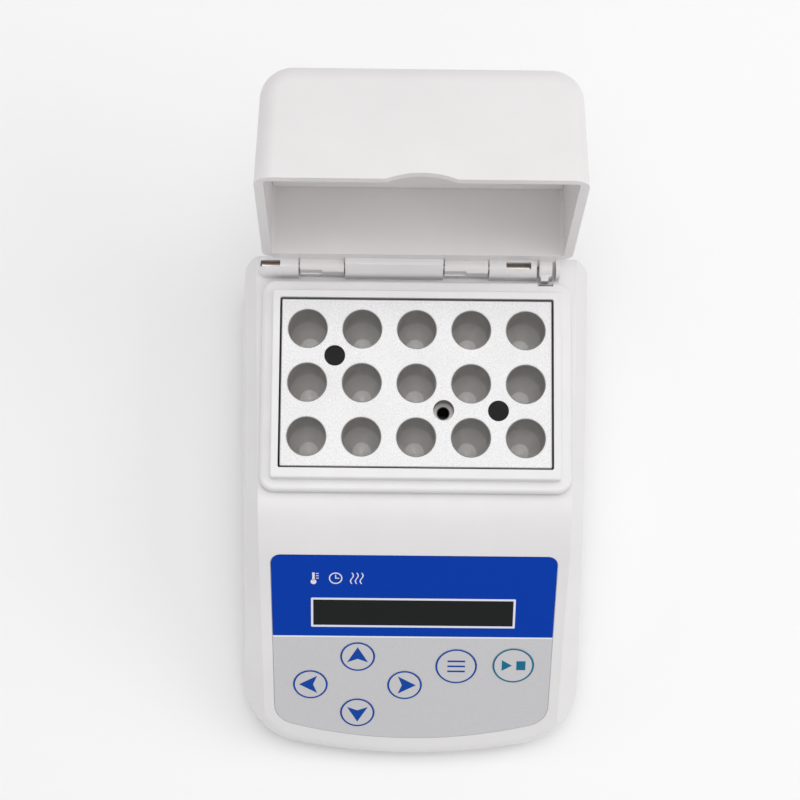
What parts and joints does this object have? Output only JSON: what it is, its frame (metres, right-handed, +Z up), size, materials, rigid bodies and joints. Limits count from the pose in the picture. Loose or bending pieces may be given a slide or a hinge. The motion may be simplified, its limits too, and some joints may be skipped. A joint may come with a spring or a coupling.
{
  "type": "dry block heater",
  "caption": "Compact dry block heater for small tubes, with a wedge-shaped casing, sloping control panel, drilled aluminium block and hinged lid standing open.",
  "frame": {"origin": "on the table, under the middle of the heater's footprint with the lid open", "axes": "+X to the user's right, +Y to the back, +Z up; the control panel faces -Y and up"},
  "size_m": [0.1068, 0.179, 0.1265],
  "materials": {
    "casing": "satin",
    "frame_plastic": "satin",
    "block": "bead blasted",
    "rubber": "matte",
    "screw_steel": "plain",
    "plug_black": "gloss",
    "film": "satin",
    "insulation": "matte",
    "cutout": "plain",
    "sensor_steel": "plain",
    "overlay": "satin",
    "overlay_button": "satin",
    "window": "gloss",
    "lcd": "satin",
    "board": "satin",
    "black_plastic": "satin",
    "pin_steel": "plain"
  },
  "bodies": {
    "casing": {"top_shell": "casing", "bottom_shell": "casing", "block_frame": "frame_plastic", "rubber_feet": "rubber", "case_screws": "screw_steel", "heating_block": "block", "block_fixing_screws": "screw_steel", "block_screw_plugs": "plug_black", "heater_base": "block", "heater_base_screws": "screw_steel", "heater_film": "film", "insulation_pad": "insulation", "insulation_jacket": "insulation", "thermal_cutout": "cutout", "temperature_sensor": "sensor_steel", "panel_overlay": "overlay", "display_window": "window", "lcd_panel": "lcd", "display_board": "board", "keypad_board": "board", "panel_screws": "screw_steel", "tact_switches": "black_plastic", "main_board": "board", "board_components": "black_plastic", "board_screws": "screw_steel", "power_inlet": "black_plastic", "inlet_nut": "screw_steel", "power_switch_housing": "black_plastic", "hinge_pin_left": "pin_steel", "hinge_pin_right": "pin_steel"},
    "lid": {"lid_shell": "casing", "lid_liner": "casing", "lid_insulation": "insulation"},
    "rocker": {"power_rocker": "black_plastic"},
    "up_button": {"up_button": "overlay_button"},
    "down_button": {"down_button": "overlay_button"},
    "left_button": {"left_button": "overlay_button"},
    "right_button": {"right_button": "overlay_button"},
    "program_button": {"program_button": "overlay_button"},
    "start_stop_button": {"start_stop_button": "overlay_button"}
  },
  "joints": [
    {"name": "lid_hinge", "type": "hinge", "parent": "casing", "child": "lid", "pos_m": [0, 0.04815, 0.062], "axis": [1, 0, 0], "range_deg": [0, 96.7]},
    {"name": "up_press", "type": "slide", "parent": "casing", "child": "up_button", "axis": [0, 0.6218, -0.7832], "range_m": [0, 0.0004], "stiffness_N_per_m": 1500},
    {"name": "down_press", "type": "slide", "parent": "casing", "child": "down_button", "axis": [0, 0.6218, -0.7832], "range_m": [0, 0.0004], "stiffness_N_per_m": 1500},
    {"name": "left_press", "type": "slide", "parent": "casing", "child": "left_button", "axis": [0, 0.6218, -0.7832], "range_m": [0, 0.0004], "stiffness_N_per_m": 1500},
    {"name": "right_press", "type": "slide", "parent": "casing", "child": "right_button", "axis": [0, 0.6218, -0.7832], "range_m": [0, 0.0004], "stiffness_N_per_m": 1500},
    {"name": "program_press", "type": "slide", "parent": "casing", "child": "program_button", "axis": [0, 0.6218, -0.7832], "range_m": [0, 0.0004], "stiffness_N_per_m": 1500},
    {"name": "start_stop_press", "type": "slide", "parent": "casing", "child": "start_stop_button", "axis": [0, 0.6218, -0.7832], "range_m": [0, 0.0004], "stiffness_N_per_m": 1500},
    {"name": "power_rocker_tilt", "type": "hinge", "parent": "casing", "child": "rocker", "pos_m": [0.022, 0.0526, 0.0186], "axis": [0, 0, 1], "range_deg": [-18, 0]}
  ]
}
